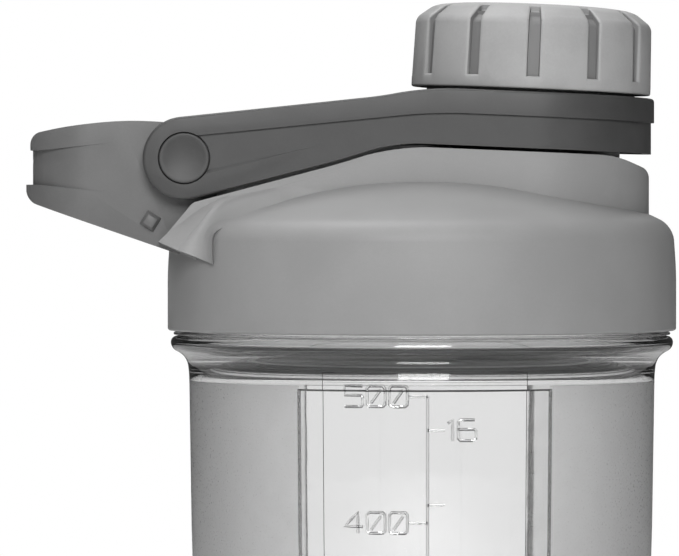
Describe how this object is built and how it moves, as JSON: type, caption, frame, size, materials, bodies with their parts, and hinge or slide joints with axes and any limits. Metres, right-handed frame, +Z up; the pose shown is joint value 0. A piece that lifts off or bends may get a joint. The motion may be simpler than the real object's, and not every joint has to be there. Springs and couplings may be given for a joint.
{
  "type": "protein shaker bottle",
  "caption": "Clear graduated shaker cup with a screw lid, carry loop, drinking spout, ribbed screw cap on a swinging strap, and a loose finned agitator inside.",
  "frame": {"origin": "centre of the cup's flat underside, on the cup's axis", "axes": "+Z up along the cup's axis, +X towards the spout, -X towards the carry loop, -Y the graduated front"},
  "size_m": [0.1133, 0.0888, 0.1854],
  "materials": {
    "clear_cup": "clear copolyester, polished panels front and back and a fine frosted grain on the sides",
    "lid_plastic": "light grey polypropylene, fine satin grain",
    "cap_plastic": "light grey polypropylene, satin",
    "loop_plastic": "mid grey polypropylene, satin",
    "strap_plastic": "dark grey polypropylene, satin with a slight sheen",
    "seal_silicone": "translucent white silicone",
    "agitator_plastic": "warm light grey polypropylene, smooth satin"
  },
  "bodies": {
    "cup": {"cup": "clear_cup"},
    "agitator": {"agitator": "agitator_plastic"},
    "lid_gasket": {"lid_gasket": "seal_silicone"},
    "lid": {"lid_shell": "lid_plastic", "carry_loop": "loop_plastic", "pivot_pin_rear": "strap_plastic", "pivot_pin_front": "strap_plastic"},
    "strap": {"cap_strap": "strap_plastic"},
    "cap_seal": {"cap_seal": "seal_silicone"},
    "cap": {"cap_grip": "cap_plastic", "cap_insert": "cap_plastic"}
  },
  "joints": [
    {"name": "agitator_rise", "type": "slide", "parent": "cup", "child": "agitator", "axis": [0, 0, 1], "range_m": [0, 0.08]},
    {"name": "lid_rise", "type": "slide", "parent": "cup", "child": "lid_gasket", "axis": [0, 0, 1], "range_m": [0, 0.0201]},
    {"name": "lid_turn", "type": "hinge", "parent": "lid_gasket", "child": "lid", "pos_m": [0, 0, 0.1282], "axis": [0, 0, 1], "range_deg": [0, 900]},
    {"name": "strap_swing", "type": "hinge", "parent": "lid", "child": "strap", "pos_m": [-0.041, 0, 0.1581], "axis": [0, -1, 0], "range_deg": [0, 190]},
    {"name": "cap_rise", "type": "slide", "parent": "strap", "child": "cap_seal", "axis": [0.0419, 0, 0.9991], "range_m": [0, 0.00301]},
    {"name": "cap_turn", "type": "hinge", "parent": "cap_seal", "child": "cap", "pos_m": [0.0186, 0, 0.1592], "axis": [0.0419, 0, 0.9991], "range_deg": [0, 270]}
  ],
  "couplings": [
    {"joint": "lid_rise", "follows": "lid_turn", "m_per_rad": 0.0012732},
    {"joint": "cap_rise", "follows": "cap_turn", "m_per_rad": 0.00063662}
  ]
}
